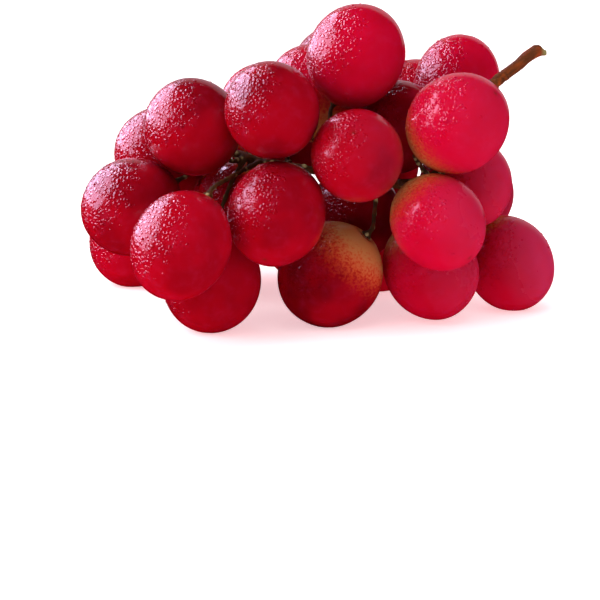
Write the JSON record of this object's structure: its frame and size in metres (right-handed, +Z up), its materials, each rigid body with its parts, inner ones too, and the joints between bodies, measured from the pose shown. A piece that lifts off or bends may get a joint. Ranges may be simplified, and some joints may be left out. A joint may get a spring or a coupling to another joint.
{
  "type": "bunch of grapes",
  "caption": "Bunch of large round red grapes lying on its side, with a woody branching stem whose cut end stands out at one end.",
  "frame": {"origin": "on the table, under the middle of the bunch's box", "axes": "+Z up from the table; +X along the bunch towards its cut stem end; -Y faces the viewer"},
  "size_m": [0.125, 0.1118, 0.0822],
  "materials": {
    "grape_skin": "smooth crimson skin with a thin waxy sheen, stands in for fruit skin",
    "grape_stem": "dry brown stem with warty bark"
  },
  "bodies": {
    "root": {"stem": "grape_stem", "berry_01": "grape_skin", "berry_02": "grape_skin", "berry_03": "grape_skin", "berry_04": "grape_skin", "berry_05": "grape_skin", "berry_06": "grape_skin", "berry_07": "grape_skin", "berry_08": "grape_skin", "berry_09": "grape_skin", "berry_10": "grape_skin", "berry_11": "grape_skin", "berry_12": "grape_skin", "berry_13": "grape_skin", "berry_14": "grape_skin", "berry_15": "grape_skin", "berry_16": "grape_skin", "berry_17": "grape_skin", "berry_18": "grape_skin", "berry_19": "grape_skin", "berry_20": "grape_skin", "berry_21": "grape_skin", "berry_22": "grape_skin", "berry_23": "grape_skin", "berry_24": "grape_skin", "berry_25": "grape_skin", "berry_26": "grape_skin", "berry_27": "grape_skin", "berry_28": "grape_skin", "berry_29": "grape_skin", "berry_30": "grape_skin", "berry_31": "grape_skin", "berry_32": "grape_skin", "berry_33": "grape_skin"}
  },
  "joints": []
}
